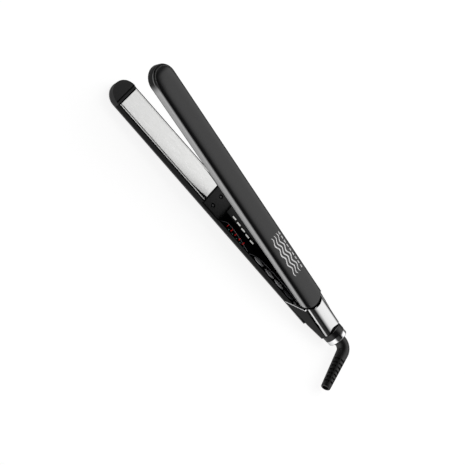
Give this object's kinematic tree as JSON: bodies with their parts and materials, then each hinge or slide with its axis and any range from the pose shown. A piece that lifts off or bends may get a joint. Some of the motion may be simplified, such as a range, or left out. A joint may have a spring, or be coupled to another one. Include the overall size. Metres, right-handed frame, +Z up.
{
  "type": "hair straightener",
  "caption": "Slim electric hair straightener: two long arms hinged at the tail and sprung open, floating flat heating plates, keys and lights inside the handle, swivelling bent strain relief.",
  "frame": {"origin": "centre of the lower cover's flat underside, under the middle of the 300 mm arm", "axes": "+X from the tips to the cord end, -Y the side with the buttons, +Z up from the face the iron lies on"},
  "size_m": [0.3562, 0.0639, 0.0807],
  "materials": {
    "gloss_black": "gloss",
    "panel_black": "gloss",
    "charcoal_lid": "satin",
    "grey_band": "satin",
    "inner_black": "satin",
    "plate_coating": "satin",
    "chrome_trim": "polished",
    "silver_button": "satin",
    "dark_button": "satin",
    "led_window": "gloss",
    "relief_rubber": "matte",
    "steel": "satin",
    "ceramic_heater": "matte",
    "silicone_pad": "matte",
    "board_green": "satin",
    "brass_contact": "satin",
    "wire_sleeve": "matte"
  },
  "bodies": {
    "lower_arm": {"lower_cover": "gloss_black", "lower_frame": "gloss_black", "lower_tip_cap": "gloss_black", "lower_screw_block": "inner_black", "lower_block_screws": "steel", "control_panel": "panel_black", "led_windows": "led_window", "tact_switches": "inner_black", "key_board": "board_green", "circuit_board": "board_green", "board_components": "inner_black", "supply_leads": "wire_sleeve", "heater_leads": "wire_sleeve", "tail_housing": "gloss_black", "cheek_trim": "chrome_trim", "hinge_pin": "steel", "hinge_spring": "steel", "tail_collar": "gloss_black", "contact_disc": "inner_black", "slip_rings": "brass_contact", "tail_ring": "chrome_trim"},
    "lower_plate": {"lower_plate": "plate_coating", "lower_heater": "ceramic_heater", "lower_heater_clip": "steel", "lower_plate_pads": "silicone_pad", "lower_thermal_fuse": "steel"},
    "upper_arm": {"upper_cover": "charcoal_lid", "upper_side_band": "grey_band", "upper_frame": "inner_black", "upper_tip_cap": "inner_black", "upper_screw_block": "inner_black", "upper_block_screws": "steel", "hinge_knuckle": "inner_black", "upper_hinge_cap": "chrome_trim"},
    "upper_plate": {"upper_plate": "plate_coating", "upper_heater": "ceramic_heater", "upper_heater_clip": "steel", "upper_plate_pads": "silicone_pad", "upper_thermal_fuse": "steel"},
    "button_1": {"button_1": "silver_button"},
    "button_2": {"button_2": "silver_button"},
    "button_3": {"button_3": "silver_button"},
    "button_4": {"button_4": "dark_button"},
    "strain_relief": {"strain_relief": "relief_rubber"}
  },
  "joints": [
    {"name": "arm_hinge", "type": "hinge", "parent": "lower_arm", "child": "upper_arm", "pos_m": [0.149, 0, 0.011], "axis": [0, -1, 0], "range_deg": [0, 11.4], "stiffness_Nm_per_rad": 1, "springref_deg": -22.92},
    {"name": "lower_plate_float", "type": "slide", "parent": "lower_arm", "child": "lower_plate", "axis": [0.0124, 0, -0.9999], "range_m": [0, 0.0008], "stiffness_N_per_m": 3000, "springref_m": -0.001},
    {"name": "upper_plate_float", "type": "slide", "parent": "upper_arm", "child": "upper_plate", "axis": [0.1855, 0, 0.9826], "range_m": [0, 0.0008], "stiffness_N_per_m": 3000, "springref_m": -0.001},
    {"name": "button_1_press", "type": "slide", "parent": "lower_arm", "child": "button_1", "axis": [0.0112, 0.4352, -0.9002], "range_m": [0, 0.0006], "stiffness_N_per_m": 900, "springref_m": -0.0006},
    {"name": "button_2_press", "type": "slide", "parent": "lower_arm", "child": "button_2", "axis": [0.0112, 0.4352, -0.9002], "range_m": [0, 0.0006], "stiffness_N_per_m": 900, "springref_m": -0.0006},
    {"name": "button_3_press", "type": "slide", "parent": "lower_arm", "child": "button_3", "axis": [0.0112, 0.4352, -0.9002], "range_m": [0, 0.0006], "stiffness_N_per_m": 900, "springref_m": -0.0006},
    {"name": "button_4_press", "type": "slide", "parent": "lower_arm", "child": "button_4", "axis": [0.0112, 0.4352, -0.9002], "range_m": [0, 0.0006], "stiffness_N_per_m": 900, "springref_m": -0.0006},
    {"name": "cord_swivel", "type": "hinge", "parent": "lower_arm", "child": "strain_relief", "pos_m": [0.179, 0, 0.01135], "axis": [1, 0, 0], "continuous": true}
  ]
}
